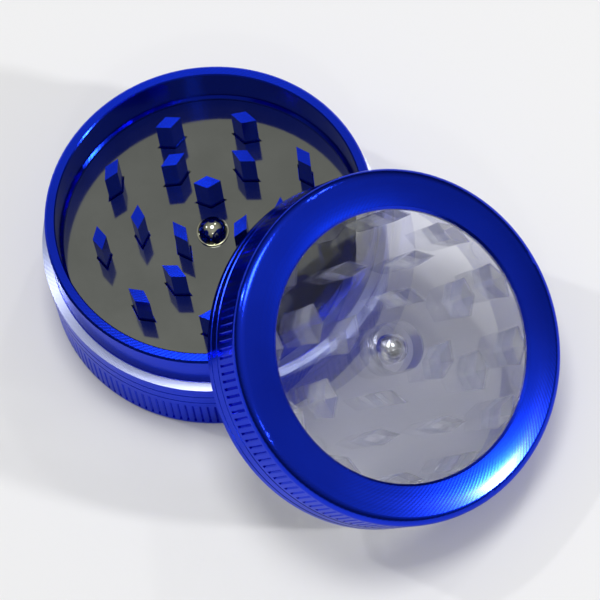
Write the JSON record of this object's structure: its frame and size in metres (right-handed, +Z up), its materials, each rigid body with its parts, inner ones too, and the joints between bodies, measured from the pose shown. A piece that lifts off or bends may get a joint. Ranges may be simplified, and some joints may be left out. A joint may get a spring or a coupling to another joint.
{
  "type": "two-piece herb and spice grinder",
  "caption": "Round two-piece hand grinder of blue anodised aluminium, with a clear toothed window lid that leans on its open base.",
  "frame": {"origin": "middle of the base's flat underside", "axes": "+Z up, out of the open base; the lid leans on the side towards +X and -Y"},
  "size_m": [0.0863, 0.0895, 0.0417],
  "materials": {
    "blue_anodised": "satin",
    "floor_steel": "polished",
    "chrome_pin": "polished",
    "clear_acrylic": "gloss",
    "ball_steel": "polished"
  },
  "bodies": {
    "base": {"base_cup": "blue_anodised", "base_teeth": "blue_anodised", "floor_plate": "floor_steel"},
    "pin": {"centre_pin": "chrome_pin"},
    "ball": {"lid_ball": "ball_steel"},
    "lid": {"lid_ring": "blue_anodised", "lid_window": "clear_acrylic"}
  },
  "joints": [
    {"name": "lid_turn", "type": "hinge", "parent": "base", "child": "pin", "pos_m": [0, 0, 0.0153], "axis": [0, 0, 1], "continuous": true},
    {"name": "lid_carry", "type": "hinge", "parent": "pin", "child": "ball", "pos_m": [0.01344, -0.01478, 0.02394], "axis": [-0.7411, -0.6709, 0.0262], "range_deg": [0, 192.6]},
    {"name": "lid_level", "type": "hinge", "parent": "ball", "child": "lid", "pos_m": [0.02673, -0.02956, 0.02126], "axis": [0.6746, 0.7375, -0.0318], "range_deg": [0, 161.54]}
  ],
  "couplings": [
    {"joint": "lid_level", "follows": "lid_carry", "ratio": 0.83869}
  ]
}
